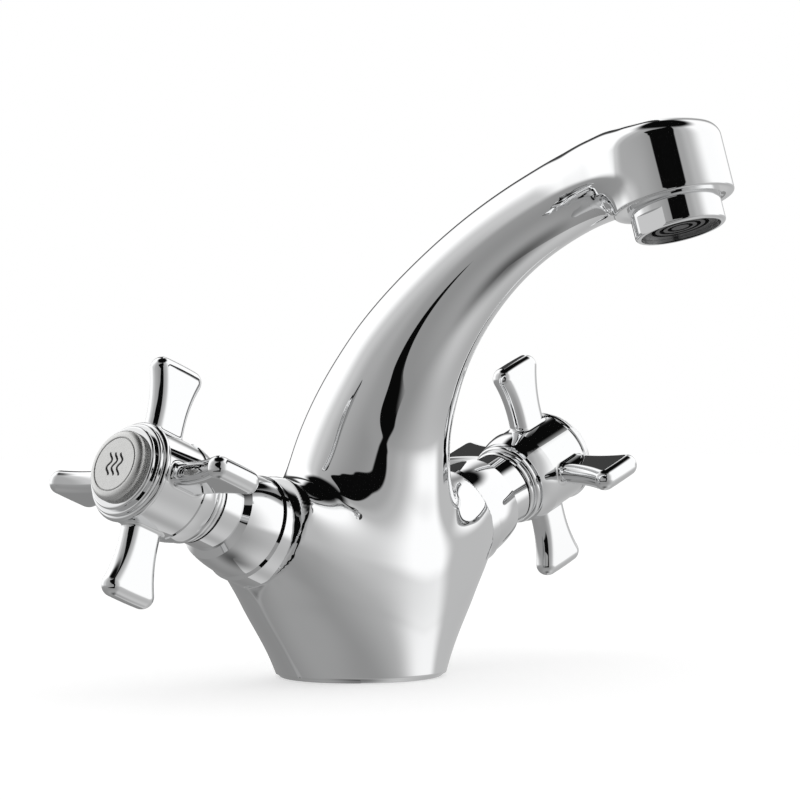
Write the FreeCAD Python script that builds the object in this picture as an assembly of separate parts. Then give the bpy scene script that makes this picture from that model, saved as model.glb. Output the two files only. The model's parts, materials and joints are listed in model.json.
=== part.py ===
import FreeCAD, Part
import os
from math import cos, pi, radians, sin

from FreeCAD import Vector

# Two-handle basin mixer: +Z up, spout towards -Y, hot valve at -X, cold valve at +X.
# Lengths are in mm, and the origin is the middle of the foot on the basin deck.

# Foot of the casting and what is machined into its underside
foot_radius = 26.5
foot_edge_round = 1.2
foot_recess_depth = 3.0
seal_inset = 3.7
seal_groove_width = 2.6
seal_groove_depth = 2.2
recess_land = 2.5
inlet_spacing = 20.0
inlet_setback = 7.5
inlet_tap_radius = 4.5
inlet_tap_depth = 13.0
inlet_way_radius = 3.5
inlet_way_top = 36.0
stud_forward = 9.5
stud_tap_radius = 3.4
stud_tap_depth = 15.0

# How far a cut runs past the face that it opens
overrun = 1.0

# Valve axes: where they cross, how far they rise, and the bores on them
valve_tilt = 21.7
valve_height = 30.0
valve_setback = 1.4
boss_face = 45.5
boss_radius = 17.0
boss_blend = 8.0
boss_root = 22.0
boss_root_radius = 18.5
bore_radius = 10.5
bore_depth = 18.5
water_ring_radius = 13.0
water_ring_width = 7.0
water_ring_lift = 2.0
seat_port_radius = 4.5
seat_port_end = 8.0
mix_drill_radius = 3.2
mix_drill_height = 51.0
mix_drill_reach = 28.0
mix_floor = 47.0
mix_radius = 14.5
mix_clearance = 12.0

# Column and swan neck: y, z, lean from upright, half width in X, half depth
neck_sections = [
    (0.0, 8.0, 0.0, 30.6, 26.6),
    (0.0, 16.0, 0.0, 35.8, 26.9),
    (0.0, 24.0, 0.0, 41.6, 27.2),
    (0.0, 32.0, 1.0, 45.4, 27.4),
    (-0.4, 40.0, 2.5, 43.4, 27.4),
    (-1.4, 48.0, 5.5, 37.4, 27.3),
    (-2.8, 56.0, 9.5, 30.8, 26.9),
    (-4.6, 64.0, 14.5, 26.6, 26.1),
    (-10.3, 82.4, 25.0, 22.7, 22.7),
    (-21.9, 101.4, 36.5, 18.9, 18.9),
    (-38.2, 119.0, 47.0, 15.5, 15.5),
    (-58.4, 134.4, 56.5, 13.2, 13.2),
    (-81.3, 146.4, 66.5, 12.2, 12.2),
    (-99.0, 152.9, 76.0, 12.6, 12.0),
]

oval_points = 32

# Head: planes that turn about a line under the neck, with the distances from that
# line to the under side and the top side, the half width and the fullness
head_turn_y = -105.5
head_turn_z = 139.0
head_sections = [
    (95.0, 1.8, 27.6, 13.6, 2.1),
    (115.0, 3.0, 33.2, 15.4, 2.4),
    (127.5, 4.2, 39.2, 17.3, 2.9),
    (136.0, 5.2, 44.2, 18.0, 3.1),
    (144.0, 6.0, 44.8, 18.1, 2.8),
    (153.0, 6.6, 43.5, 18.0, 2.2),
]
head_radius = 18.0
outlet_y = -129.4
outlet_z = 146.2
outlet_lean = 163.2
neck_wall = 3.2
outlet_tap_radius = 12.0
outlet_tap_depth = 9.0
outlet_chamber_radius = 10.0
outlet_chamber_depth = 17.0
outlet_way_flatness = 0.8

# Aerator
skirt_radius = 13.5
skirt_length = 9.0
skirt_wall = 1.6
skirt_edge_round = 0.9
skirt_flat_cut = 0.9
skirt_flat_start = 3.4
barrel_wall = 1.3
barrel_end = 2.0
aerator_thread_fit = 0.1
washer_thickness = 1.5
insert_fit = 0.1
insert_recess = 1.2
insert_plate = 2.0
insert_wall = 1.2
insert_slot_radii = [2.6, 5.0, 7.4]
insert_slot_width = 1.2
insert_ribs = 6
screen_thickness = 0.5

# Valve headwork inside each boss, from the seat outwards
seat_seal_thickness = 1.8
seat_seal_bore = 4.6
disc_radius = 6.8
disc_thickness = 2.8
disc_fit = 0.1
disc_gap = 0.05
port_inner = 1.8
port_outer = 5.2
port_angle = 80.0
barrel_radius = 8.9
window_width = 7.0
window_height = 4.0
driver_thickness = 2.5
driver_play = 0.15
spindle_radius = 4.0
spindle_fit = 0.1
thread_fit = 0.05
thread_lead = 1.0
headwork_washer = 1.0
headwork_washer_lip = 1.0
hex_flats = 24.0
hex_height = 3.6
headwork_neck_radius = 9.0
headwork_drop = 2.0
ring_groove_lift = 6.05
ring_section = 0.85
clip_thickness = 1.0
clip_radius = 6.2
clip_seat_radius = 3.1
clip_gap_angle = 60.0
clip_play = 0.3
spline_lead = 2.0
spindle_inset = 0.5
spline_teeth = 20
spline_depth = 0.5
spline_fit = 0.05
spindle_tap_depth = 11.0

# Bell-shaped cover over the headwork
flange_radius = 17.2
flange_length = 7.1
flange_round = 0.8
bell_radius = 16.4
bell_length = 12.8
bell_end_radius = 14.6
bell_fullness = 0.78
cover_neck_radius = 12.4
cover_neck_length = 8.8
cover_bore = 15.0
cover_land_depth = 2.4
cover_fit = 0.1

# Cross handle: two collars, a swelling shoulder, hub, front bead, rim and four flared arms
handle_gap = 0.6
collar_radius = 12.9
collar_length = 2.2
collar_crown = 0.5
second_collar_radius = 13.9
second_collar_length = 2.3
collar_groove_radius = 13.1
collar_groove_length = 0.4
shoulder_foot_rise = 0.4
shoulder_length = 6.3
shoulder_bulge = 0.27
shoulder_rise = 0.4
shoulder_step = 0.3
hub_radius = 15.3
hub_length = 16.9
front_bead_rise = 0.5
front_bead_radius = 1.3
rim_inset = 0.7
rim_length = 1.4
rim_round = 0.7
rear_recess_radius = 10.0
bush_length = 11.5
bush_radius = 8.0
bush_fit = 0.05
web_thickness = 3.5
arm_offset = 8.2
arm_reach = 37.8
arm_thickness = 7.2
arm_waist = 13.4
arm_tip = 23.0
arm_flare_start = 19.0
arm_tip_corner = 3.7
arm_crown = 0.4
arm_edge_flat = 0.4
arm_root_round = 1.4
hot_handle_turn = 4.9
cold_handle_turn = 2.9

# Handle screw and the two pieces of the index cap
screw_radius = 2.0
screw_fit = 0.1
screw_length = 13.0
screw_head_radius = 4.4
screw_head_height = 3.0
screw_slot_width = 1.2
screw_slot_depth = 1.2
screw_hole_play = 0.6
ring_inset = 1.4
ring_height = 1.7
ring_round = 0.7
ring_spigot = 6.0
ring_seat = 2.7
ring_wall = 2.4
index_inset = 2.0
index_edge = 2.0
index_face_inset = 0.9
index_rise = 0.9
index_spigot = 5.0
index_wall = 1.5
index_line_inset = 1.7
index_line_width = 0.4
index_line_depth = 0.25
cap_fit = 0.1

# Heights and radii that follow from the ones above, in the foot and at the outlet
seal_outer = foot_radius - seal_inset + seal_groove_width / 2
seal_inner = seal_outer - seal_groove_width
foot_recess_radius = seal_inner - recess_land
thread_radius = outlet_tap_radius - aerator_thread_fit
thread_top = washer_thickness - outlet_tap_depth
skirt_bore = skirt_radius - skirt_wall
barrel_bore = thread_radius - barrel_wall
insert_high = skirt_length - insert_recess
plate_low = insert_high - insert_plate

# The same along each valve axis, from the seat out to the index cap
seat = boss_face - bore_depth
ring_low = seat + water_ring_lift
disc_low = seat + seat_seal_thickness
driver_low = disc_low + 2 * disc_thickness + disc_gap
ring_groove_at = driver_low + driver_thickness + ring_groove_lift
flange_end = boss_face + flange_length
bell_end = flange_end + bell_length
cover_top = bell_end + cover_neck_length
cover_land = bell_end - cover_land_depth
headwork_top = cover_top - headwork_drop
clip_low = headwork_top + clip_play
handle_rear = cover_top + handle_gap
collar_end = handle_rear + collar_length
second_collar_end = collar_end + second_collar_length
shoulder_start = second_collar_end + collar_groove_length
shoulder_end = shoulder_start + shoulder_length
front_bead_at = shoulder_end + hub_length
rim_start = front_bead_at + front_bead_radius
handle_front = rim_start + rim_length
cap_low = handle_front + ring_height
bush_start = collar_end
bush_end = bush_start + bush_length
web_end = bush_end + web_thickness
spline_start = bush_start - spline_lead
spindle_end = bush_end - spindle_inset
arm_at = shoulder_end + arm_offset
arm_edge_round = (arm_thickness - arm_edge_flat) / 2
shoulder_radius = hub_radius + shoulder_rise
front_bead_crest = hub_radius + front_bead_rise
rim_radius = hub_radius - rim_inset
ring_radius = rim_radius - ring_inset
front_bore_radius = ring_radius - ring_seat
ring_bore = front_bore_radius - cap_fit - ring_wall
index_radius = ring_radius - index_inset
index_face_radius = index_radius - index_face_inset
index_line_radius = index_face_radius - index_line_inset


def lathe(start, *steps):
    """Turn a closed outline of (radius, height) points about Z; four numbers make an arc."""
    here = Vector(start[0], 0, start[1])
    first = here
    edges = []
    for step in steps:
        there = Vector(step[-2], 0, step[-1])
        if len(step) == 4:
            edges.append(Part.Arc(here, Vector(step[0], 0, step[1]), there).toShape())
        else:
            edges.append(Part.LineSegment(here, there).toShape())
        here = there
    edges.append(Part.LineSegment(here, first).toShape())
    return Part.Face(Part.Wire(edges)).revolve(Vector(0, 0, 0), Vector(0, 0, 1), 360)


def rounded(radius, top, edge):
    """Outline steps up a cylinder and over its rounded top edge."""
    turn = edge * (1 - cos(pi / 4))
    return [(radius, top - edge), (radius - turn, top - turn, radius - edge, top)]


def ring(inner, outer, low, high):
    return lathe((inner, low), (outer, low), (outer, high), (inner, high))


def rod(radius, low, high):
    return Part.makeCylinder(radius, high - low, Vector(0, 0, low))


def bar(size_x, size_y, low, high):
    return Part.makeBox(size_x, size_y, high - low, Vector(-size_x / 2, -size_y / 2, low))


def sector(inner, outer, low, high, angle):
    outline = [Vector(inner, 0, low), Vector(outer, 0, low), Vector(outer, 0, high), Vector(inner, 0, high)]
    face = Part.Face(Part.makePolygon(outline + outline[:1]))
    swept = face.revolve(Vector(0, 0, 0), Vector(0, 0, 1), angle)
    swept.rotate(Vector(0, 0, 0), Vector(0, 0, 1), -angle / 2)
    return swept


def turned(shape, angle):
    copy = shape.copy()
    copy.rotate(Vector(0, 0, 0), Vector(0, 0, 1), angle)
    return copy


def star(radius, depth, teeth, low, high):
    points = []
    for step in range(2 * teeth):
        reach = radius if step % 2 == 0 else radius - depth
        angle = pi * step / teeth
        points.append(Vector(reach * cos(angle), reach * sin(angle), low))
    face = Part.Face(Part.makePolygon(points + points[:1]))
    return face.extrude(Vector(0, 0, high - low))


def on_valve(shape, side):
    """Carry a shape built along Z onto the valve axis of one side: -1 hot, +1 cold."""
    rise = radians(valve_tilt)
    out = Vector(side * cos(rise), 0, sin(rise))
    up = Vector(-side * sin(rise), 0, cos(rise))
    turn = FreeCAD.Rotation(up, out.cross(up), out, "ZXY")
    place = FreeCAD.Placement(Vector(0, valve_setback, valve_height), turn)
    placed = shape.copy()
    placed.Placement = place.multiply(shape.Placement)
    return placed


def on_outlet(shape):
    """Carry a shape built along Z onto the outlet axis, with Z pointing out of the head."""
    lean = radians(outlet_lean)
    out = Vector(0, -sin(lean), cos(lean))
    across = Vector(1, 0, 0)
    turn = FreeCAD.Rotation(across, out.cross(across), out, "ZXY")
    place = FreeCAD.Placement(Vector(0, outlet_y, outlet_z), turn)
    placed = shape.copy()
    placed.Placement = place.multiply(shape.Placement)
    return placed


def oval(centre, normal, across, half_across, half_other, fullness=2.0):
    """Closed curve about a point: an ellipse, or a squarer one for a fullness over 2."""
    turn = FreeCAD.Rotation(across, normal.cross(across), normal, "ZXY")
    points = []
    for step in range(oval_points):
        angle = 2 * pi * step / oval_points + pi / 2
        reach = (abs(cos(angle)) ** fullness + abs(sin(angle)) ** fullness) ** (-1 / fullness)
        flat = Vector(half_across * reach * cos(angle), half_other * reach * sin(angle), 0)
        points.append(centre + turn.multVec(flat))
    steps = [step / oval_points for step in range(oval_points + 1)]
    curve = Part.BSplineCurve()
    curve.interpolate(Points=points, Parameters=steps, PeriodicFlag=True)
    return curve


def skinned(curves):
    """Solid through closed curves that share their knots, with flat ends."""
    firsts = [curve.value(0) for curve in curves]
    stations = [0.0]
    for low, high in zip(firsts, firsts[1:]):
        stations.append(stations[-1] + low.distanceToPoint(high))
    columns = []
    for column in zip(*[curve.getPoles() for curve in curves]):
        along = Part.BSplineCurve()
        along.interpolate(Points=list(column), Parameters=stations)
        columns.append(along)
    skin = Part.BSplineSurface()
    skin.buildFromPolesMultsKnots(
        [along.getPoles() for along in columns],
        curves[0].getMultiplicities(), columns[0].getMultiplicities(),
        curves[0].getKnots(), columns[0].getKnots(),
        True, False, 3, 3,
    )
    side = skin.toShape()
    ends = [Part.Face(Part.Wire([curve.toShape()])) for curve in (curves[0], curves[-1])]
    shell = Part.makeShell([side] + ends)
    shell.sewShape()
    solid = Part.makeSolid(Part.Shell(shell.Faces))
    if solid.Volume < 0:
        solid.reverse()
    return solid


def neck_oval(y, z, lean, half_width, half_depth, fullness=2.0):
    tilt = radians(lean)
    normal = Vector(0, -sin(tilt), cos(tilt))
    return oval(Vector(0, y, z), normal, Vector(1, 0, 0), half_width, half_depth, fullness)


def head_oval(lean, near, far, half_width, fullness):
    middle = (near + far) / 2
    y = head_turn_y + middle * cos(radians(lean))
    z = head_turn_z + middle * sin(radians(lean))
    return neck_oval(y, z, lean, half_width, (far - near) / 2, fullness)


def neck_solid():
    curves = [neck_oval(0.0, 0.0, 0.0, foot_radius, foot_radius)]
    curves += [neck_oval(*one) for one in neck_sections]
    curves += [head_oval(*one) for one in head_sections]
    curves.append(neck_oval(outlet_y, outlet_z, outlet_lean, head_radius, head_radius))
    return skinned(curves)


def boss_joint(edge):
    """Tell whether an edge is where a valve boss runs into the column."""
    box = edge.BoundBox
    return box.YLength > boss_radius and 0.4 * boss_face < abs(box.Center.x) < 0.85 * boss_face


def waterway_solid():
    """Mixing chamber and the way up the neck to the outlet."""
    floor = neck_oval(0.0, mix_floor, 0.0, mix_radius, mix_radius)
    curves = [floor]
    for y, z, lean, half_width, half_depth in neck_sections:
        if z > mix_floor + mix_clearance:
            reach = min(half_width, half_depth) - neck_wall
            curves.append(neck_oval(y, z, lean, reach, reach))
    end_y = outlet_y + outlet_chamber_depth * sin(radians(outlet_lean)) / 2
    end_z = outlet_z - outlet_chamber_depth * cos(radians(outlet_lean)) / 2
    end = outlet_chamber_radius - neck_wall / 2
    curves.append(neck_oval(end_y, end_z, 90.0, end, end * outlet_way_flatness))
    return skinned(curves)


def body_casting():
    body = neck_solid()
    for side in (-1, 1):
        boss = Part.makeCone(boss_root_radius, boss_radius, boss_face - boss_root, Vector(0, 0, boss_root))
        body = body.fuse(on_valve(boss, side))
    body = body.makeFillet(boss_blend, [edge for edge in body.Edges if boss_joint(edge)])
    rim = [edge for edge in body.Edges if edge.BoundBox.ZMax < 0.01]
    body = body.makeFillet(foot_edge_round, rim)
    cuts = [waterway_solid(), rod(foot_recess_radius, -overrun, foot_recess_depth)]
    cuts.append(ring(seal_inner, seal_outer, -overrun, seal_groove_depth))
    stud = rod(stud_tap_radius, 0, foot_recess_depth + stud_tap_depth)
    stud.translate(Vector(0, -stud_forward, 0))
    cuts.append(stud)
    for side in (-1, 1):
        inlet = rod(inlet_tap_radius, 0, foot_recess_depth + inlet_tap_depth)
        inlet = inlet.fuse(rod(inlet_way_radius, 0, inlet_way_top))
        inlet.translate(Vector(side * inlet_spacing / 2, inlet_setback, 0))
        bore = rod(bore_radius, seat, boss_face + overrun)
        bore = bore.fuse(rod(water_ring_radius, ring_low, ring_low + water_ring_width))
        bore = bore.fuse(rod(seat_port_radius, seat_port_end, seat + overrun))
        start = Vector(0, valve_setback, mix_drill_height)
        drill = Part.makeCylinder(mix_drill_radius, mix_drill_reach, start, Vector(side, 0, 0))
        cuts += [inlet, on_valve(bore, side), drill]
    outlet = rod(outlet_tap_radius, -outlet_tap_depth, overrun)
    outlet = outlet.fuse(rod(outlet_chamber_radius, -outlet_chamber_depth, 0))
    cuts.append(on_outlet(outlet))
    for cut in cuts:
        body = body.cut(cut)
    return body


def base_seal():
    return ring(seal_inner, seal_outer, 0, seal_groove_depth)


def aerator_housing():
    shape = lathe(
        (barrel_bore, thread_top), (thread_radius, thread_top), (thread_radius, 0), (skirt_radius, 0),
        *rounded(skirt_radius, skirt_length, skirt_edge_round),
        (skirt_bore, skirt_length), (skirt_bore, barrel_end), (barrel_bore, barrel_end),
    )
    for angle in (0, 180):
        flat = Part.makeBox(skirt_radius, 2 * skirt_radius, skirt_length, Vector(0, -skirt_radius, 0))
        flat.translate(Vector(skirt_radius - skirt_flat_cut, 0, skirt_flat_start))
        shape = shape.cut(turned(flat, angle))
    return shape


def aerator_insert():
    cup = barrel_bore - insert_fit
    cap = skirt_bore - insert_fit
    step = barrel_end + insert_wall
    shape = lathe(
        (cup - insert_wall, thread_top), (cup, thread_top), (cup, barrel_end), (cap, barrel_end),
        (cap, insert_high), (0, insert_high), (0, plate_low), (cap - insert_wall, plate_low),
        (cap - insert_wall, step), (cup - insert_wall, step),
    )
    for radius in insert_slot_radii:
        slot = ring(radius, radius + insert_slot_width, plate_low - overrun, insert_high + overrun)
        shape = shape.cut(slot)
    for count in range(insert_ribs):
        rib = bar(2 * cap - insert_wall, insert_wall, plate_low, insert_high - insert_plate / 2)
        shape = shape.fuse(turned(rib, 180 * count / insert_ribs))
    return shape.removeSplitter()


def aerator_screen():
    radius = skirt_bore - 2 * insert_fit - insert_wall
    return rod(radius, plate_low - screen_thickness, plate_low)


def aerator_washer():
    return ring(outlet_chamber_radius - insert_wall, thread_radius, -outlet_tap_depth, thread_top)


def seat_seal():
    return ring(seat_seal_bore, barrel_radius, seat, disc_low)


def ported_disc(low):
    high = low + disc_thickness
    disc = rod(disc_radius, low, high)
    port = sector(port_inner, port_outer, low - overrun, high + overrun, port_angle)
    return disc.cut(port).cut(turned(port, 180))


def fixed_disc():
    return ported_disc(disc_low)


def moving_disc():
    return turned(ported_disc(disc_low + disc_thickness + disc_gap), 90)


def headwork():
    chamber_top = driver_low + driver_thickness + driver_play
    thread = bore_radius - thread_fit
    shape = rod(barrel_radius, disc_low, boss_face)
    shape = shape.fuse(rod(thread, ring_low + water_ring_width + thread_lead, boss_face))
    shape = shape.fuse(rod(barrel_radius, boss_face, boss_face + headwork_washer))
    hex_low = boss_face + headwork_washer
    points = []
    for step in range(7):
        angle = radians(60 * step + 30)
        reach = hex_flats / 2 / cos(radians(30))
        points.append(Vector(reach * cos(angle), reach * sin(angle), hex_low))
    nut = Part.Face(Part.makePolygon(points)).extrude(Vector(0, 0, hex_height))
    shape = shape.fuse(nut).fuse(rod(headwork_neck_radius, hex_low, headwork_top))
    shape = shape.cut(rod(disc_radius + disc_fit, disc_low - overrun, chamber_top))
    shape = shape.cut(rod(spindle_radius + spindle_fit, disc_low, headwork_top + overrun))
    window_low = disc_low + disc_thickness + disc_gap
    window = bar(3 * barrel_radius, window_width, window_low, window_low + window_height)
    return shape.cut(window)


def headwork_washer_ring():
    outer = hex_flats / 2 + headwork_washer_lip
    return ring(barrel_radius + thread_fit, outer, boss_face, boss_face + headwork_washer)


def spindle():
    groove = spindle_radius - 2 * ring_section
    groove_low = ring_groove_at - ring_section
    shape = rod(disc_radius, driver_low, driver_low + driver_thickness)
    shape = shape.fuse(rod(spindle_radius, driver_low + driver_thickness, spline_start))
    shape = shape.fuse(star(spindle_radius, spline_depth, spline_teeth, spline_start, spindle_end))
    clear = spindle_radius + overrun
    shape = shape.cut(ring(groove, clear, groove_low, groove_low + 2 * ring_section))
    shape = shape.cut(ring(clip_seat_radius, clear, clip_low, clip_low + clip_thickness))
    tap_low = spindle_end - spindle_tap_depth
    return shape.cut(rod(screw_radius + screw_fit, tap_low, spindle_end + overrun))


def spindle_ring():
    middle = spindle_radius - ring_section
    return Part.makeTorus(middle, ring_section, Vector(0, 0, ring_groove_at))


def spindle_clip():
    clip_high = clip_low + clip_thickness
    clip = ring(clip_seat_radius, clip_radius, clip_low, clip_high)
    inner, outer = clip_seat_radius - overrun, clip_radius + overrun
    return clip.cut(sector(inner, outer, clip_low - overrun, clip_high + overrun, clip_gap_angle))


def valve_cover():
    edge = flange_round
    turn = edge * (1 - cos(pi / 4))
    land = headwork_neck_radius + cover_fit
    middle = (flange_end + bell_end) / 2
    bulge = bell_end_radius + bell_fullness * (bell_radius - bell_end_radius)
    wall = bell_radius - cover_bore
    return lathe(
        (cover_bore, boss_face), (flange_radius - edge, boss_face),
        (flange_radius - turn, boss_face + turn, flange_radius, boss_face + edge),
        (flange_radius, flange_end), (bell_radius, flange_end + flange_radius - bell_radius),
        (bulge, middle, bell_end_radius, bell_end), (cover_neck_radius, bell_end + wall),
        (cover_neck_radius, cover_top), (land, cover_top), (land, cover_land),
        (cover_bore - wall, cover_land), (cover_bore, cover_land - wall),
    )


def handle_arm():
    """One flared arm along X: an outline in X and Z with rounded corners and edges."""
    root = hub_radius / 2
    half = arm_waist / 2
    tip = arm_tip / 2
    run = arm_reach - arm_flare_start
    flare = (run * run + (tip - half) ** 2) / (2 * (tip - half))
    middle = Vector(arm_flare_start + run / 2, 0, half + flare - (flare * flare - run * run / 4) ** 0.5)
    crown = Vector(arm_reach + arm_crown, 0, 0)
    edges = [Part.Arc(Vector(arm_reach, 0, tip), crown, Vector(arm_reach, 0, -tip))]
    edges.append(Part.LineSegment(Vector(root, 0, -half), Vector(root, 0, half)))
    for side in (-1, 1):
        bend = Vector(arm_flare_start, 0, side * half)
        via = Vector(middle.x, 0, side * middle.z)
        edges.append(Part.LineSegment(Vector(root, 0, side * half), bend))
        edges.append(Part.Arc(bend, via, Vector(arm_reach, 0, side * tip)))
    outline = Part.Wire(Part.__sortEdges__([edge.toShape() for edge in edges]))
    blade = Part.Face(outline).extrude(Vector(0, arm_thickness, 0))
    blade.translate(Vector(0, -arm_thickness / 2, arm_at))
    boxes = [(edge, edge.BoundBox) for edge in blade.Edges]
    corners = [edge for edge, box in boxes if box.XMin > arm_reach - 0.01 and box.ZLength < 0.01]
    blade = blade.makeFillet(arm_tip_corner, corners)
    boxes = [(edge, edge.BoundBox) for edge in blade.Edges]
    rims = [edge for edge, box in boxes if box.YLength < 0.01 and box.XMax > root + 0.01]
    return blade.makeFillet(arm_edge_round, rims)


def on_hub(edge):
    """Tell whether an edge is where an arm meets the hub."""
    if edge.Degenerated:
        return False
    for one in edge.discretize(5):
        if abs((one.x ** 2 + one.y ** 2) ** 0.5 - hub_radius) > 0.02:
            return False
    box = edge.BoundBox
    return abs(box.Center.z - arm_at) < arm_waist / 2 + 0.1 and box.ZLength < arm_waist


def cross_handle():
    hole = screw_radius + screw_hole_play
    shoulder_foot = second_collar_radius + shoulder_foot_rise
    swell = (shoulder_foot + shoulder_radius) / 2 + shoulder_bulge
    bead_middle = front_bead_crest - front_bead_radius
    bead_back = (front_bead_radius ** 2 - (hub_radius - bead_middle) ** 2) ** 0.5
    hub = lathe(
        (rear_recess_radius, handle_rear), (collar_radius - collar_crown, handle_rear),
        (collar_radius, (handle_rear + collar_end) / 2, collar_radius - collar_crown, collar_end),
        (second_collar_radius - collar_crown, collar_end),
        (second_collar_radius, (collar_end + second_collar_end) / 2,
         second_collar_radius - collar_crown, second_collar_end),
        (collar_groove_radius, second_collar_end), (collar_groove_radius, shoulder_start),
        (shoulder_foot, shoulder_start),
        (swell, (shoulder_start + shoulder_end) / 2, shoulder_radius, shoulder_end),
        (hub_radius, shoulder_end + shoulder_step), (hub_radius, front_bead_at - bead_back),
        (front_bead_crest, front_bead_at, bead_middle, rim_start), (rim_radius, rim_start),
        *rounded(rim_radius, handle_front, rim_round),
        (front_bore_radius, handle_front), (front_bore_radius, web_end), (hole, web_end),
        (hole, bush_end), (bush_radius, bush_end), (bush_radius, bush_start),
        (rear_recess_radius, bush_start),
    )
    arm = handle_arm().cut(rod((hub_radius + front_bore_radius) / 2, handle_rear, handle_front))
    shape = turned(hub, 45)
    for step in range(4):
        shape = shape.fuse(turned(arm, 90 * step))
    return shape.makeFillet(arm_root_round, [edge for edge in shape.Edges if on_hub(edge)])


def spline_bush():
    reach = spindle_radius + spline_fit
    teeth = star(reach, spline_depth, spline_teeth, bush_start - overrun, bush_end + overrun)
    return rod(bush_radius - bush_fit, bush_start, bush_end).cut(teeth)


def handle_screw():
    top = web_end + screw_head_height
    screw = rod(screw_head_radius, web_end, top)
    screw = screw.fuse(rod(screw_radius, web_end - screw_length, web_end))
    return screw.cut(bar(3 * screw_head_radius, screw_slot_width, top - screw_slot_depth, top + overrun))


def index_ring():
    spigot = front_bore_radius - cap_fit
    return lathe(
        (ring_bore, handle_front - ring_spigot), (spigot, handle_front - ring_spigot),
        (spigot, handle_front), (ring_radius, handle_front),
        *rounded(ring_radius, cap_low, ring_round), (ring_bore, cap_low),
    )


def index_disc():
    spigot = ring_bore - cap_fit
    top = cap_low + index_edge
    face = top + index_rise
    hollow = spigot - index_wall
    swell = cos(pi / 4)
    disc = lathe(
        (hollow, cap_low - index_spigot), (spigot, cap_low - index_spigot), (spigot, cap_low),
        (index_radius, cap_low), (index_radius, top),
        (index_face_radius + swell * index_face_inset, top + swell * index_rise, index_face_radius, face),
        (0, face), (0, cap_low), (hollow, cap_low),
    )
    inner = index_line_radius - index_line_width / 2
    return disc.cut(ring(inner, inner + index_line_width, face - index_line_depth, face + overrun))


# Where each piece goes: fixed ones on the casting, moving ones turned with their handle
fixed_on_valve = {
    "seat_seal": seat_seal,
    "fixed_disc": fixed_disc,
    "headwork": headwork,
    "headwork_washer": headwork_washer_ring,
    "valve_cover": valve_cover,
}
turning_on_valve = {
    "moving_disc": moving_disc,
    "spindle": spindle,
    "spindle_ring": spindle_ring,
    "spindle_clip": spindle_clip,
    "spline_bush": spline_bush,
    "handle": cross_handle,
    "handle_screw": handle_screw,
    "index_ring": index_ring,
    "index_disc": index_disc,
}
on_head = {
    "aerator_washer": aerator_washer,
    "aerator_housing": aerator_housing,
    "aerator_insert": aerator_insert,
    "aerator_screen": aerator_screen,
}

pieces = {"body_casting": body_casting(), "base_seal": base_seal()}
for name, build in on_head.items():
    pieces[name] = on_outlet(build())
for name, build in fixed_on_valve.items():
    shape = build()
    pieces["hot_" + name] = on_valve(shape, -1)
    pieces["cold_" + name] = on_valve(shape, 1)
for name, build in turning_on_valve.items():
    shape = build()
    pieces["hot_" + name] = on_valve(turned(shape, hot_handle_turn), -1)
    pieces["cold_" + name] = on_valve(turned(shape, cold_handle_turn), 1)

os.makedirs("parts", exist_ok=True)
for name, shape in pieces.items():
    shape.exportStep("parts/" + name + ".step")
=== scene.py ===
import json
from math import cos, pi, radians, sin

import bpy
import numpy as np
from mathutils import Matrix, Vector


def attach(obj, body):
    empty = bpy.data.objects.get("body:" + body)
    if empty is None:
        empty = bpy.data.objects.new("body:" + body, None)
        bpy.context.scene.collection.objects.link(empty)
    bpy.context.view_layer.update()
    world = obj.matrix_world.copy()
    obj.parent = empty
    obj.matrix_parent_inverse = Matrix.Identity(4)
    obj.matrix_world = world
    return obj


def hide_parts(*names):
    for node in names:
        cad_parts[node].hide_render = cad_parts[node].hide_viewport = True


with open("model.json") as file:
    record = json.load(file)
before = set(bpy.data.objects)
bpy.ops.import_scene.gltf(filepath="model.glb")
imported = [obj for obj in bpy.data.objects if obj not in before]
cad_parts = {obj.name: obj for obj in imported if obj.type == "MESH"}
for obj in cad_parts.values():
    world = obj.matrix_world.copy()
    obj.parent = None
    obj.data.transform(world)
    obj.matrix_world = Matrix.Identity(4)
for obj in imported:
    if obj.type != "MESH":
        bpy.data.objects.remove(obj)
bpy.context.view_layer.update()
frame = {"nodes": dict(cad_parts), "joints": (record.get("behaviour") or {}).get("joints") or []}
mm = 0.001

# The camera of the photograph, in metres, degrees and pixels of an 800 pixel frame
view_azimuth = -45.99
view_elevation = 0.90
view_roll = -0.47
camera_place = Vector((-0.71711, -0.70437, 0.09875))
frame_pixels = 800
focal_pixels = 3139.1
centre_pixel = (384.97, 416.67)
sensor_mm = 36.0

# Studio round the mixer, by direction in degrees: zero points back past the camera, plus is to its
# right, and heights are above the horizon. Levels are shares of white, and pairs are fades.
studio_turn = 135.5
wall_levels = [
    (-180, 0.05), (-168, 0.10), (-160, 1.10), (-112, 1.12), (-88, 0.62), (-66, 0.42), (-16, 0.29),
    (28, 0.38), (46, 0.50), (84, 1.08), (150, 1.10), (164, 0.30), (180, 0.05),
]
low_wall_level = 0.52
low_wall_sides = (104, 120)
low_wall_heights = (12, 2)
ground_levels = [(-90, 0.09), (-62, 0.15), (-36, 0.29), (0, 0.34)]
ground_sides = [(-180, 0.85), (-60, 0.95), (20, 1.00), (90, 1.70), (140, 1.50), (180, 1.00)]
horizon_sides = (-60, 60)
horizon_heights = (-7.0, -11.0)
horizon_softness = 6.0
ceiling_heights = (50, 64)
dark_level = 0.003
strip_left = [
    (-34, 10), (-24, 9), (-14, 7), (-8, 5.5), (2, 4), (13, -17), (24, -32), (36, -44), (62, -60),
]
strip_right = [(-34, 10.4), (-24, 11), (-14, 17), (-8, 21), (0, 24), (12, 17), (50, 20)]
strip_heights = (-34, -28)
strip_edge = 1.5
room_light = 0.80

# Floor, in metres and shares of white
floor_half = 2.0
floor_grey = 0.80
floor_glow = 0.42

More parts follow.
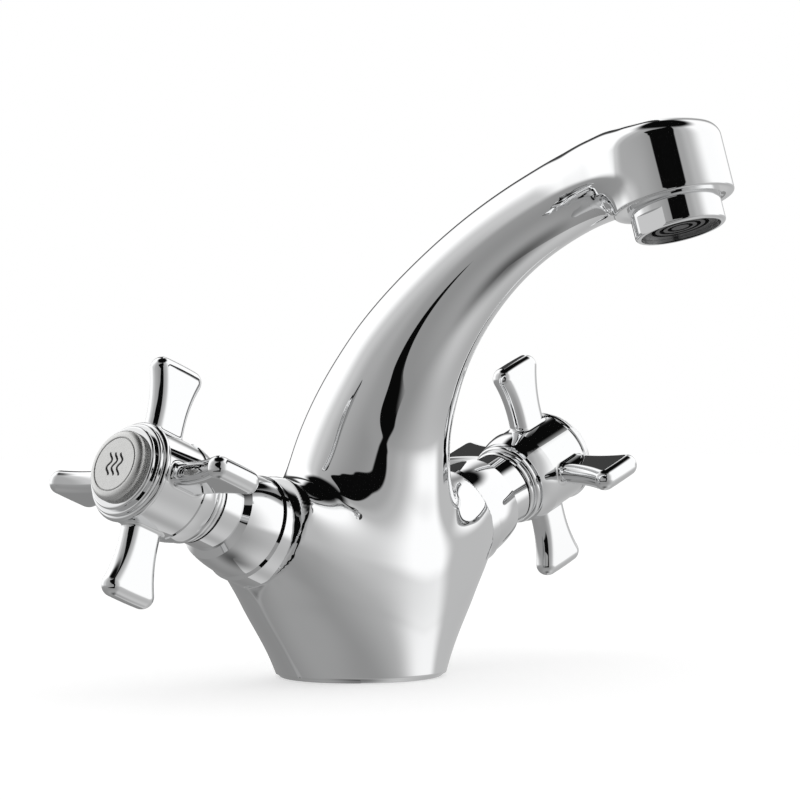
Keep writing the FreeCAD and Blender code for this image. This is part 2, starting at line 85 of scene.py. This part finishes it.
# Finishes: light and dark colour, least and most roughness, grain in mm, metal, bump and enamel
mark_enamel = (0.012, 0.012, 0.012)
finish_values = {
    "chrome": ((0.92, 0.925, 0.93), (0.90, 0.905, 0.91), (0.012, 0.030), 6.0, 1.0),
    "satin_chrome": ((0.80, 0.80, 0.79), (0.72, 0.72, 0.71), (0.30, 0.44), 0.12, 1.0, 0.25, mark_enamel),
    "brass": ((0.76, 0.60, 0.30), (0.66, 0.50, 0.24), (0.22, 0.36), 0.8, 1.0),
    "ceramic": ((0.92, 0.91, 0.87), (0.86, 0.85, 0.81), (0.10, 0.18), 0.5),
    "rubber": ((0.035, 0.035, 0.035), (0.02, 0.02, 0.02), (0.55, 0.75), 0.4, 0.0, 0.2),
    "fibre": ((0.40, 0.11, 0.07), (0.28, 0.07, 0.05), (0.65, 0.85), 0.3, 0.0, 0.4),
    "steel": ((0.66, 0.66, 0.67), (0.56, 0.56, 0.57), (0.20, 0.34), 0.5, 1.0),
    "bush_plastic": ((0.86, 0.86, 0.83), (0.78, 0.78, 0.75), (0.38, 0.5), 0.4),
    "insert_plastic": ((0.018, 0.018, 0.02), (0.01, 0.01, 0.011), (0.3, 0.45), 0.3),
}
cloud_grains = 12
cloud_detail = 3.0
speck_detail = 5.0
speck_range = (0.3, 0.7)
bump_grains = 0.1

# Index caps, in mm and counts
reed_count = 140
reed_samples = 6
reed_depth = 0.30
reed_fade_share = 0.9
reed_fade_rings = 6
cap_rim_share = 0.97
cap_spigot_gap = 0.5
cap_edge_height = 0.9
cap_edge_bevel = 0.15
cap_flat_share = 0.79
cap_dome_rings = 14
cap_face_rings = 77
cap_pole_radius = 0.1
line_share = 0.75
line_width = 0.36
line_paint = 0.45
mark_width = 0.62
mark_reach = 3.3
groove_depth = 0.22
groove_slope = 0.14
wave_height = 0.75
wave_length = 4.6
wave_spacing = 2.3
flake_branch_start = 1.9
flake_branch = 1.2
unset_distance = 99.0

# Casting's outer skin, in mm and degrees. The belly and its bosses follow the valve axes.
valve_height = 30.0
valve_setback = 1.4
valve_tilt = 21.7
boss_face = 45.5
boss_radius = 17.0
boss_taper = 0.064
boss_blend = 14.0
boss_blend_under = 4.0
boss_under = (-24, -12)
foot_radius = 26.5
foot_round = 1.2
foot_hollow = [(24.1, 0.0), (24.1, 2.2), (21.5, 2.2), (21.5, 0.0), (19.0, 0.0), (19.0, 3.0)]
belly_half_width = 48.5
belly_half_depth = 27.0
belly_setback = 0.6
belly_wide_height = 31.0
belly_deepens = (0, 30)
belly_fills = (4, 30)
belly_fullness = 2.3
belly_rise = 18.6
belly_thin_end = 0.3
belly_last_share = 0.9999
flank_room = 3.4
flank_blend = 16.0
ridge_round = 4.0
shoulder_fullness = 2.6
valley_blend = 18.0

# Column and neck: y, z, lean from upright, half width in X, half depth
neck_sections = [
    (-0.4, 0.0, 0.0, 19.0, 19.0),
    (-0.4, 20.0, 0.0, 22.0, 22.0),
    (-0.8, 40.0, 3.0, 25.4, 25.4),
    (-3.0, 57.0, 10.0, 26.7, 26.5),
    (-5.5, 67.5, 16.4, 25.6, 25.6),
    (-10.3, 82.4, 25.0, 22.7, 22.7),
    (-21.9, 101.4, 36.5, 18.9, 18.9),
    (-38.2, 119.0, 47.0, 15.5, 15.5),
    (-58.4, 134.4, 56.5, 13.2, 13.2),
    (-81.3, 146.4, 66.5, 12.2, 12.2),
    (-99.0, 152.9, 76.0, 12.6, 12.2),
]
column_sections = 8
first_neck_section = 3
first_square_section = 5

# Head: a drum on the outlet axis under a top line of y and z
outlet_place = (-129.4, 146.2)
outlet_lean = 163.2
outlet_bore = 14.0
outlet_bore_depth = 9.0
head_radius = 18.0
head_top = [
    (-150, 170.2), (-135, 170.2), (-128, 169.7), (-120, 168.3), (-112, 166.6), (-104, 164.6), (-90, 161.5),
]
head_crown = 45.0
crown_fades = (-140, -116)
head_edge_round = 4.4
head_foot_round = 0.7
head_blend = 6.0

# End of the neck, which runs along an arc into the drum, widens to it and turns square on top
neck_arc_middle = (-123.9, 58.1)
neck_arc_radius = 98.0
neck_end_radius = 12.1
neck_end_y = -128.0
neck_end_round = 6.0
neck_end_fullness = 3.4
neck_fills = (-88, -116)
neck_top_half = (-6, 6)
neck_flare_start = -86.0
neck_flare = 0.2
flare_ease = 8.0
flare_blend = 4.0

# Middle line of the head: lean, y, z
head_middles = [
    (95.0, -106.8, 153.7),
    (115.0, -113.2, 155.5),
    (127.5, -118.8, 156.4),
    (136.0, -123.4, 156.3),
    (144.0, -126.1, 154.0),
    (153.0, -127.8, 150.4),
    (163.2, -129.4, 146.2),
]

# Rays that find the skin: counts, heights in mm, and leans at which one form gives way to the next
skin_columns = 256
column_crowding = 0.18
climb_rows = 40
fan_rows = 130
shift_rows = 34
neck_rows = 76
head_rows = 78
edge_rows = 6
fan_height = 30.0
fan_top = 52.0
column_gives_way = (26, 38)
head_takes_over = (64, 76)
ray_length = 80.0
ray_halvings = 36


class Nodes:
    """Small helper that adds shader nodes to one tree and links them."""

    def __init__(self, tree):
        self.tree = tree
        tree.nodes.clear()

    def add(self, kind, inputs=None, **settings):
        node = self.tree.nodes.new(kind)
        for name, value in settings.items():
            setattr(node, name, value)
        for name, value in (inputs or {}).items():
            if isinstance(value, bpy.types.NodeSocket):
                self.tree.links.new(value, node.inputs[name])
            else:
                node.inputs[name].default_value = value
        return node

    def math(self, operation, *values):
        return self.add("ShaderNodeMath", dict(enumerate(values)), operation=operation).outputs[0]

    def map(self, value, start, end, low=0.0, high=1.0, kind="LINEAR"):
        inputs = {"Value": value, "From Min": start, "From Max": end, "To Min": low, "To Max": high}
        return self.add("ShaderNodeMapRange", inputs, interpolation_type=kind).outputs[0]

    def ramp(self, value, start, end):
        """Rise smoothly from 0 at the start to 1 at the end."""
        return self.map(value, start, end, kind="SMOOTHSTEP")

    def profile(self, value, stops):
        """Smooth curve through (place, level) stops."""
        first, last = stops[0][0], stops[-1][0]
        levels = [level for place, level in stops]
        low, high = min(levels), max(levels)
        node = self.add("ShaderNodeValToRGB", {0: self.map(value, first, last)})
        ramp = node.color_ramp
        ramp.interpolation = "EASE"
        ends = {first: ramp.elements[0], last: ramp.elements[1]}
        for place, level in stops:
            element = ends.get(place) or ramp.elements.new((place - first) / (last - first))
            share = (level - low) / (high - low)
            element.color = (share, share, share, 1.0)
        return self.map(node.outputs[0], 0.0, 1.0, low, high)

    def mix(self, factor, first, second):
        inputs = {0: factor, 2: first, 3: second}
        return self.add("ShaderNodeMix", inputs, data_type="FLOAT").outputs[0]

    def mix_colour(self, factor, first, second):
        inputs = {0: factor, 6: first, 7: second}
        return self.add("ShaderNodeMix", inputs, data_type="RGBA").outputs[2]


def photo_camera():
    """Camera that stands where the photograph was taken, with its roll and framing."""
    a, e, roll = radians(view_azimuth), radians(view_elevation), radians(view_roll)
    back = Vector((sin(a) * cos(e), -cos(a) * cos(e), sin(e)))
    right = Vector((cos(a), sin(a), 0.0))
    up = back.cross(right)
    rolled_right = right * cos(roll) + up * sin(roll)
    rolled_up = up * cos(roll) - right * sin(roll)
    data = bpy.data.cameras.new("photo_camera")
    data.sensor_width = sensor_mm
    data.lens = focal_pixels / frame_pixels * sensor_mm
    data.shift_x = 0.5 - centre_pixel[0] / frame_pixels
    data.shift_y = centre_pixel[1] / frame_pixels - 0.5
    camera = bpy.data.objects.new("photo_camera", data)
    turn = Matrix((rolled_right, rolled_up, back)).transposed().to_4x4()
    camera.matrix_world = Matrix.Translation(camera_place) @ turn
    bpy.context.scene.collection.objects.link(camera)
    bpy.context.scene.camera = camera


def studio_light(n, side, height):
    """Level of the studio in one direction: lit walls, a grey ground, a dark ceiling and
    one dark strip beside the camera that leans as it rises."""
    wall = n.profile(side, wall_levels)
    low_right = n.math("MULTIPLY", n.ramp(side, *low_wall_sides), n.ramp(height, *low_wall_heights))
    wall = n.mix(low_right, wall, low_wall_level)
    ground = n.math("MULTIPLY", n.profile(height, ground_levels), n.profile(side, ground_sides))
    horizon = n.mix(n.ramp(side, *horizon_sides), *horizon_heights)
    above = n.ramp(n.math("SUBTRACT", height, horizon), -horizon_softness, horizon_softness)
    light = n.mix(above, ground, wall)
    light = n.mix(n.ramp(height, *ceiling_heights), light, dark_level)
    inside_left = n.math("SUBTRACT", side, n.profile(height, strip_left))
    inside_right = n.math("SUBTRACT", n.profile(height, strip_right), side)
    strip = n.math("MULTIPLY", n.ramp(inside_left, -strip_edge, strip_edge),
                   n.ramp(inside_right, -strip_edge, strip_edge))
    strip = n.math("MULTIPLY", strip, n.ramp(height, *strip_heights))
    return n.mix(strip, light, dark_level)


def studio_world():
    """White for the camera, the studio for reflections and an even light for the rest."""
    world = bpy.data.worlds.new("studio")
    bpy.context.scene.world = world
    world.use_nodes = True
    n = Nodes(world.node_tree)
    direction = n.add("ShaderNodeTexCoord").outputs["Generated"]
    turn = {"Vector": direction, "Axis": (0, 0, 1), "Angle": radians(studio_turn)}
    turned = n.add("ShaderNodeVectorRotate", turn, rotation_type="AXIS_ANGLE").outputs[0]
    parts = n.add("ShaderNodeSeparateXYZ", {0: turned}).outputs
    side = n.math("MULTIPLY", n.math("ARCTAN2", parts["Y"], parts["X"]), 180 / pi)
    height = n.math("MULTIPLY", n.math("ARCSINE", parts["Z"]), 180 / pi)
    path = n.add("ShaderNodeLightPath").outputs
    mirrored = n.math("MAXIMUM", path["Is Glossy Ray"], path["Is Transmission Ray"])
    light = n.mix(mirrored, room_light, studio_light(n, side, height))
    strength = n.mix(path["Is Camera Ray"], light, 1.0)
    background = n.add("ShaderNodeBackground", {"Color": (1, 1, 1, 1), "Strength": strength})
    n.add("ShaderNodeOutputWorld", {"Surface": background.outputs[0]})


def floor():
    """Pale floor that glows a little for the camera, so that it meets the white background."""
    mesh = bpy.data.meshes.new("floor")
    corners = [(-floor_half, -floor_half, 0), (floor_half, -floor_half, 0),
               (floor_half, floor_half, 0), (-floor_half, floor_half, 0)]
    mesh.from_pydata(corners, [], [(0, 1, 2, 3)])
    material = bpy.data.materials.new("pale_floor")
    material.use_nodes = True
    n = Nodes(material.node_tree)
    seen = n.add("ShaderNodeLightPath").outputs["Is Camera Ray"]
    pale = n.add("ShaderNodeBsdfDiffuse", {"Color": (floor_grey, floor_grey, floor_grey, 1)}).outputs[0]
    glow = n.add("ShaderNodeEmission", {"Strength": n.math("MULTIPLY", seen, floor_glow)}).outputs[0]
    both = n.add("ShaderNodeAddShader", {0: pale, 1: glow}).outputs[0]
    n.add("ShaderNodeOutputMaterial", {"Surface": both})
    mesh.materials.append(material)
    piece = bpy.data.objects.new("floor", mesh)
    bpy.context.scene.collection.objects.link(piece)
    piece.visible_glossy = False


def finish(name, light, dark, rough, grain, metallic=0.0, bump=0.0, enamel=None):
    """Material whose colour drifts in clouds and whose roughness varies with a fine grain.
    Enamel fills whatever a mesh marks as engraved."""
    material = bpy.data.materials.new(name)
    material.use_nodes = True
    n = Nodes(material.node_tree)
    place = n.add("ShaderNodeTexCoord").outputs["Object"]
    cloud_inputs = {"Vector": place, "Scale": 1 / (cloud_grains * grain * mm), "Detail": cloud_detail}
    cloud = n.add("ShaderNodeTexNoise", cloud_inputs).outputs[0]
    speck_inputs = {"Vector": place, "Scale": 1 / (grain * mm), "Detail": speck_detail}
    speck = n.add("ShaderNodeTexNoise", speck_inputs).outputs[0]
    colour = n.mix_colour(cloud, (*dark, 1), (*light, 1))
    if enamel:
        engraved = n.add("ShaderNodeAttribute", attribute_name="engraved").outputs["Fac"]
        colour = n.mix_colour(engraved, colour, (*enamel, 1))
    inputs = {"Base Color": colour, "Metallic": metallic, "Roughness": n.map(speck, *speck_range, *rough)}
    if bump:
        bump_inputs = {"Height": speck, "Strength": bump, "Distance": bump_grains * grain * mm}
        inputs["Normal"] = n.add("ShaderNodeBump", bump_inputs).outputs[0]
    shader = n.add("ShaderNodeBsdfPrincipled", inputs)
    n.add("ShaderNodeOutputMaterial", {"Surface": shader.outputs[0]})
    return material


def smooth(value, low, high):
    """Rise smoothly from 0 at the low end to 1 at the high end."""
    share = np.clip((value - low) / (high - low), 0, 1)
    return share * share * (3 - 2 * share)


def stroke(distance, width):
    """1 within half a width of a line, falling to 0 over the slope of the groove."""
    return 1 - smooth(distance, width / 2 - groove_slope / 2, width / 2 + groove_slope / 2)


def to_segment(x, y, ax, ay, bx, by):
    """Distance from points to a straight segment."""
    share = ((x - ax) * (bx - ax) + (y - ay) * (by - ay)) / ((bx - ax) ** 2 + (by - ay) ** 2)
    share = np.clip(share, 0, 1)
    return np.hypot(x - ax - share * (bx - ax), y - ay - share * (by - ay))


def heat_mark(x, y):
    """Three upright waves: the distance to x = c + h sin(2 pi y / l), within the mark's reach."""
    nearest = np.full(x.shape, unset_distance)
    held = np.clip(y, -mark_reach, mark_reach)
    turn = 2 * pi / wave_length
    for count in (-1, 0, 1):
        sway = count * wave_spacing + wave_height * np.sin(turn * held)
        slope = wave_height * turn * np.cos(turn * held)
        aside = np.abs(x - sway) / np.sqrt(1 + slope * slope)
        nearest = np.minimum(nearest, np.hypot(aside, y - held))
    return nearest


def frost_mark(x, y):
    """Six arms with a pair of branches each, folded into one sixth of a turn."""
    angle = np.mod(np.arctan2(y, x), pi / 3) - pi / 6
    reach = np.hypot(x, y)
    along, aside = reach * np.cos(angle), np.abs(reach * np.sin(angle))
    tip_x = flake_branch_start + flake_branch * cos(pi / 3)
    tip_y = flake_branch * sin(pi / 3)
    arm = to_segment(along, aside, 0, 0, mark_reach, 0)
    return np.minimum(arm, to_segment(along, aside, flake_branch_start, 0, tip_x, tip_y))


def valve_frame(side):
    """Where a valve axis starts, with its directions out, up and to the right of someone facing it."""
    joint = next(one for one in frame["joints"] if one["name"] == side + "_handle_turn")
    out = np.array(joint["axis"], float)
    up = np.array((-out[2] * np.sign(out[0]), 0, abs(out[0])))
    return np.array(joint["pos_m"], float), out, up, np.cross(up, out)


def on_valve(side, x, y, z):
    """Points given in mm to the right, up and out along a valve axis."""
    origin, out, up, right = valve_frame(side)
    return origin + mm * (x[..., None] * right + y[..., None] * up + z[..., None] * out)


def turned_outline(name, side):
    """A node's points as height along its valve axis and distance from it, in mm."""
    origin, out = valve_frame(side)[:2]
    mesh = frame["nodes"][name].data
    points = np.empty(len(mesh.vertices) * 3)
    mesh.vertices.foreach_get("co", points)
    points = points.reshape(-1, 3) - origin
    height = points @ out
    return height / mm, np.linalg.norm(points - np.outer(height, out), axis=1) / mm


def closed_grid(name, points, low_pole, high_pole, material):
    """Mesh of rings of points that closes round and is capped by a pole at each end."""
    rows, around = points.shape[:2]
    vertices = np.vstack([points.reshape(-1, 3), low_pole, high_pole])
    row, step = np.meshgrid(np.arange(rows - 1), np.arange(around), indexing="ij")
    after = (step + 1) % around
    quads = np.stack([row * around + step, row * around + after,
                      (row + 1) * around + after, (row + 1) * around + step], axis=-1).reshape(-1, 4)
    here = np.arange(around)
    there = (here + 1) % around
    last = (rows - 1) * around
    low_fan = np.stack([np.full(around, rows * around), there, here], axis=-1)
    high_fan = np.stack([np.full(around, rows * around + 1), last + here, last + there], axis=-1)
    mesh = bpy.data.meshes.new(name)
    mesh.from_pydata(vertices.tolist(), [], quads.tolist() + low_fan.tolist() + high_fan.tolist())
    mesh.shade_smooth()
    mesh.materials.append(material)
    piece = bpy.data.objects.new(name, mesh)
    bpy.context.scene.collection.objects.link(piece)
    return piece


def cap_rings(node, side):
    """Rings of an index cap from the spigot's end to the middle of its face: radius, height,
    share of reeding, and whether the ring lies on the face. The shoulder is a quarter ellipse."""
    height, radius = turned_outline(node, side)
    edge, face, bottom = radius.max(), height.max(), height.min()
    low = height[radius > cap_rim_share * edge].min()
    top = low + cap_edge_height
    spigot = radius[height < low - cap_spigot_gap].max()
    flat = cap_flat_share * edge
    bend = np.linspace(0, pi / 2, cap_dome_rings)
    inward = np.linspace(flat, cap_pole_radius, cap_face_rings + 1)[1:]
    side_radius = [spigot / 2, spigot, spigot, edge - cap_edge_bevel, edge, edge]
    side_height = [bottom, bottom, low, low, low + cap_edge_bevel, top - cap_edge_bevel]
    ring_radius = np.concatenate([side_radius, flat + (edge - flat) * np.cos(bend), inward])
    ring_height = np.concatenate([side_height, top + (face - top) * np.sin(bend), face + 0 * inward])
    dome = len(side_radius)
    reeded = np.zeros(ring_radius.shape)
    reeded[dome - 2:dome] = 1
    reeded[dome:dome + reed_fade_rings] = np.linspace(reed_fade_share, 0, reed_fade_rings)
    on_face = np.arange(len(ring_radius)) >= dome + cap_dome_rings - 1
    return ring_radius[:, None], ring_height[:, None], reeded[:, None], on_face[:, None]


def index_cap(side, mark, material):
    """Index cap as rings about the valve axis: a spigot, a reeded edge whose radius swings with
    the cosine of the reed count, a domed shoulder and a flat face cut by a ring and a mark."""
    node = side + "_index_disc"
    radius, height, reeded, on_face = cap_rings(node, side)
    angle = np.linspace(0, 2 * pi, reed_count * reed_samples, endpoint=False)
    swing = reed_depth * (0.5 - 0.5 * np.cos(reed_count * angle))
    r = radius - reeded * swing
    x, y = r * np.cos(angle), r * np.sin(angle)
    ring_line = stroke(np.abs(r - line_share * radius.max()), line_width) * on_face
    sign = stroke(mark(x, y), mark_width) * on_face
    z = height - groove_depth * np.maximum(ring_line, sign)
    middle = sign[-1].max()
    pole_height = np.array([height[0, 0], height[-1, 0] - groove_depth * middle])
    low_pole, high_pole = on_valve(side, np.zeros(2), np.zeros(2), pole_height)
    piece = closed_grid(side + "_index_cap", on_valve(side, x, y, z), low_pole, high_pole, material)
    engraved = piece.data.attributes.new("engraved", "FLOAT", "POINT")
    paint = np.concatenate([np.maximum(line_paint * ring_line, sign).ravel(), [0, middle]])
    engraved.data.foreach_set("value", paint)
    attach(piece, side + "_handle_body")
    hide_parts(node)


def curve_through(knots, values, places):
    """Natural cubic curve through (knot, value) pairs, read at the places."""
    knots, values, places = (np.asarray(one, float) for one in (knots, values, places))
    step = np.diff(knots)
    rise = np.diff(values) / step
    system = np.eye(len(knots))
    inner = np.arange(1, len(knots) - 1)
    system[inner, inner - 1] = step[:-1]
    system[inner, inner] = 2 * (step[:-1] + step[1:])
    system[inner, inner + 1] = step[1:]
    bend = np.linalg.solve(system, np.concatenate([[0], 6 * np.diff(rise), [0]]))
    at = np.clip(np.searchsorted(knots, places) - 1, 0, len(step) - 1)
    back, on = knots[at + 1] - places, places - knots[at]
    curved = (bend[at] * (back ** 3 - back * step[at] ** 2)
              + bend[at + 1] * (on ** 3 - on * step[at] ** 2)) / (6 * step[at])
    return curved + (values[at] * back + values[at + 1] * on) / step[at]


def round_overlap(first, second, radius):
    """What two distances share, with a round on the edge between them."""
    corner = np.hypot(np.maximum(radius + first, 0), np.maximum(radius + second, 0))
    return np.minimum(-radius, np.maximum(first, second)) + corner


def soft_union(first, second, width):
    """Lesser of two distances, or of two widths, joined by a cubic blend."""
    share = np.maximum(width - np.abs(first - second), 0) / width
    return np.minimum(first, second) - share ** 3 * width / 6


def column_distance(x, y, z):
    """Distance, roughly, to level ovals between the front and back lines of the leaning sections."""
    rows = np.array(neck_sections[:column_sections])
    lean = np.radians(rows[:, 2])
    rise, run = rows[:, 4] * np.sin(lean), rows[:, 4] * np.cos(lean)
    front = curve_through(rows[:, 1] - rise, rows[:, 0] - run, z)
    back = curve_through(rows[:, 1] + rise, rows[:, 0] + run, z)
    half = curve_through(rows[:, 1], rows[:, 3], z)
    deep = (back - front) / 2
    return (np.hypot(x / half, (y - (front + back) / 2) / deep) - 1) * (half + deep) / 2


def belly_distance(x, y, z):
    """Distance, roughly, to the belly. Its plan is a superellipse whose flank widens in a straight
    line from the round foot, and its shoulder rounds over a ridge that climbs with the valve axes."""
    tilt = radians(valve_tilt)
    aside = np.sqrt(x * x + ridge_round ** 2) - ridge_round
    above = np.maximum(z - valve_height - aside * sin(tilt) / cos(tilt), 0) / belly_rise
    flank = foot_radius + (belly_half_width - foot_radius) * z / belly_wide_height
    wide = soft_union(flank, belly_half_width + flank_room, flank_blend)
    full = 2 + (belly_fullness - 2) * smooth(z, *belly_fills)
    share = np.minimum(np.abs(x) / wide, belly_last_share)
    deepened = smooth(z, *belly_deepens)
    deep = belly_half_depth - (belly_half_depth - foot_radius) * (1 - deepened)
    deep = np.maximum(deep * (1 - share ** full) ** (1 / full), belly_thin_end)
    ahead = np.abs(y - belly_setback * deepened) / deep
    level = (ahead ** shoulder_fullness + above ** shoulder_fullness) ** (1 / shoulder_fullness)
    return (level - 1) * np.minimum(deep, belly_rise) + np.maximum(np.abs(x) - wide, 0)


def lower_distance(x, y, z):
    """Distance, roughly, to the belly, the tapered boss round each valve axis and the column,
    joined with fillets. The fillet is tighter under a boss."""
    tilt = radians(valve_tilt)
    along = np.abs(x) * cos(tilt) + (z - valve_height) * sin(tilt)
    over = (z - valve_height) * cos(tilt) - np.abs(x) * sin(tilt)
    girth = boss_radius + boss_taper * (boss_face - along)
    boss = np.maximum(np.hypot(y - valve_setback, over) - girth, along - boss_face)
    belly = np.maximum(belly_distance(x, y, z), along - boss_face)
    blend = boss_blend_under + (boss_blend - boss_blend_under) * smooth(over, *boss_under)
    return soft_union(soft_union(belly, boss, blend), column_distance(x, y, z), valley_blend)


def neck_end_distance(x, y, z):
    """Distance, roughly, to the end of the neck: superellipses along an arc, as wide as the drum
    where they enter it, with a fuller top half and a round end."""
    arc = np.hypot(y - neck_arc_middle[0], z - neck_arc_middle[1]) - neck_arc_radius
    past = np.maximum(neck_flare_start - y, 0)
    flare = neck_end_radius + neck_flare * past ** 2 / (past + flare_ease)
    wide = soft_union(flare, head_radius, flare_blend)
    full = 2 + (neck_end_fullness - 2) * smooth(y, *neck_fills) * smooth(arc, *neck_top_half)
    level = ((np.abs(arc) / neck_end_radius) ** full + (np.abs(x) / wide) ** full) ** (1 / full)
    return round_overlap((level - 1) * neck_end_radius, neck_end_y - y, neck_end_round)


def head_distance(x, y, z):
    """Distance, roughly, to the head: a drum on the outlet axis under a crowned top line, joined
    to the end of the neck."""
    lean = radians(outlet_lean)
    to_y, to_z = y - outlet_place[0], z - outlet_place[1]
    off = to_y * cos(lean) + to_z * sin(lean)
    drum = np.hypot(x, off) - head_radius
    tops = np.array(head_top)
    crown = x * x / (2 * head_crown) * smooth(y, *crown_fades)
    top = z - curve_through(tops[:, 0], tops[:, 1], y) + crown
    return soft_union(round_overlap(drum, top, head_edge_round), neck_end_distance(x, y, z), head_blend)


def reach_of(distance, origin, toward):
    """How far rays run from their origins to where a distance is zero, by halving."""
    near = np.zeros(toward.shape[:2])
    far = np.full(near.shape, ray_length)
    for halving in range(ray_halvings):
        middle = (near + far) / 2
        point = origin + middle[..., None] * toward
        inside = distance(point[..., 0], point[..., 1], point[..., 2]) < 0
        near = np.where(inside, middle, near)
        far = np.where(inside, far, middle)
    return (near + far) / 2


def neck_reach(turn, lean):
    """Reach of the ellipses along the neck, each square to its lean."""
    rows = np.array(neck_sections[first_neck_section:])
    held = np.clip(lean, rows[0, 2], rows[-1, 2])
    half = curve_through(rows[:, 2], rows[:, 3], held)
    thick = curve_through(rows[:, 2], rows[:, 4], held)
    return 1 / np.hypot(np.cos(turn) / half, np.sin(turn) / thick)


def skin_rays(turn):
    """Origins, directions and leans of the rays, row by row: level rows up the belly, a fan that tips
    up from one height, rows that turn from the fan to the neck, and rows square to neck and head."""
    rows = np.array(neck_sections)
    start_y, start_z, start_lean = rows[first_square_section, :3]
    neck_lean = rows[-1, 2]
    climb = np.linspace(foot_round, fan_height, climb_rows, endpoint=False)
    fan = np.linspace(0, fan_top, fan_rows, endpoint=False)
    shift = np.linspace(0, 1, shift_rows, endpoint=False)
    leans = np.concatenate([np.linspace(start_lean, neck_lean, neck_rows, endpoint=False),
                            np.linspace(neck_lean, outlet_lean, head_rows)])
    line = np.vstack([rows[first_square_section:, [2, 0, 1]], head_middles])
    middle_y = curve_through(line[:, 0], line[:, 1], leans)
    middle_z = curve_through(line[:, 0], line[:, 2], leans)
    fan_end = fan_height + foot_radius * np.tan(radians(fan_top))
    lower = rows[:first_square_section + 1]
    fan_back = curve_through(lower[:, 1], lower[:, 0], fan_end)
    ease = smooth(shift, 0, 1)
    shift_lean, shift_lift = start_lean * ease, fan_top * (1 - ease)
    drop = foot_radius * np.tan(np.radians(shift_lift))
    shift_y = fan_back + (start_y - fan_back) * shift + drop * np.sin(np.radians(shift_lean))
    shift_z = fan_end + (start_z - fan_end) * shift - drop * np.cos(np.radians(shift_lean))
    origin_y = np.concatenate([0 * climb, fan_back * smooth(fan, 0, fan_top), shift_y, middle_y])
    origin_z = np.concatenate([climb, 0 * fan + fan_height, shift_z, middle_z])
    lean = np.radians(np.concatenate([0 * climb, 0 * fan, shift_lean, leans]))[:, None]
    lift = np.radians(np.concatenate([0 * climb, fan, shift_lift, 0 * leans]))[:, None]
    flat, deep = np.cos(turn) * np.cos(lift), np.sin(turn) * np.cos(lift)
    toward = np.stack([flat, deep * np.cos(lean) - np.sin(lift) * np.sin(lean),
                       deep * np.sin(lean) + np.sin(lift) * np.cos(lean)], axis=-1)
    origin = np.stack([0 * origin_y, origin_y, origin_z], axis=-1)[:, None, :]
    return origin, toward, np.degrees(lean)


def foot_rings(turn):
    """Rings under the foot: out of the recess, over the seal groove and round the edge."""
    ring = np.stack([np.cos(turn[0]), np.sin(turn[0]), 0 * turn[0]], axis=-1)
    bend = np.linspace(pi / 2, 0, edge_rows + 1)[:-1]
    edge = [(foot_radius - foot_round * (1 - cos(a)), foot_round * (1 - sin(a))) for a in bend]
    return [ring * (r, r, 0) + (0, 0, z) for r, z in foot_hollow[::-1] + edge]


def mouth_rings(rim):
    """Rings from the head's rim round its edge and up the outlet bore, and the middle of the bore's end."""
    lean = radians(outlet_lean)
    out = np.array([0, -sin(lean), cos(lean)])
    middle = np.array([0, *outlet_place])
    outward = (rim - middle) / np.linalg.norm(rim - middle, axis=1, keepdims=True)
    edge = [rim - head_foot_round * (1 - sin(a)) * outward + head_foot_round * cos(a) * out
            for a in np.linspace(pi / 2, 0, edge_rows)]
    bore = [middle + outlet_bore * outward + head_foot_round * out,
            middle + outlet_bore * outward - outlet_bore_depth * out]
    return edge + bore, middle - outlet_bore_depth * out


def casting_skin(material):
    """Outer skin of the casting: rays from a middle line that climbs the column and the neck meet
    the joined belly, bosses and column below, ellipses along the neck, and the drum of the head."""
    turn = 2 * pi * np.arange(skin_columns) / skin_columns
    turn = (turn - column_crowding * np.sin(2 * turn))[None, :]
    origin, toward, lean = skin_rays(turn)
    low = 1 - smooth(lean, *column_gives_way)
    high = smooth(lean, *head_takes_over)
    reach = neck_reach(turn, lean) * (1 - low) * (1 - high)
    below, above = low[:, 0] > 0, high[:, 0] > 0
    reach[below] += low[below] * reach_of(lower_distance, origin[below], toward[below])
    reach[above] += high[above] * reach_of(head_distance, origin[above], toward[above])
    skin = origin + reach[..., None] * toward
    mouth, mouth_end = mouth_rings(skin[-1])
    points = np.concatenate([foot_rings(turn), skin[:-1], mouth])
    recess = np.array([0, 0, foot_hollow[-1][1]])
    piece = closed_grid("casting_skin", points * mm, recess * mm, mouth_end * mm, material)
    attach(piece, "mixer_body")
    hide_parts("body_casting")


photo_camera()
studio_world()
floor()

finishes = {name: finish(name, *values) for name, values in finish_values.items()}
for piece in frame["nodes"].values():
    for slot in piece.material_slots:
        slot.material = finishes[slot.material.name.split(".")[0]]

casting_skin(finishes["chrome"])
index_cap("hot", heat_mark, finishes["satin_chrome"])
index_cap("cold", frost_mark, finishes["satin_chrome"])

bpy.context.scene.view_settings.view_transform = "Standard"
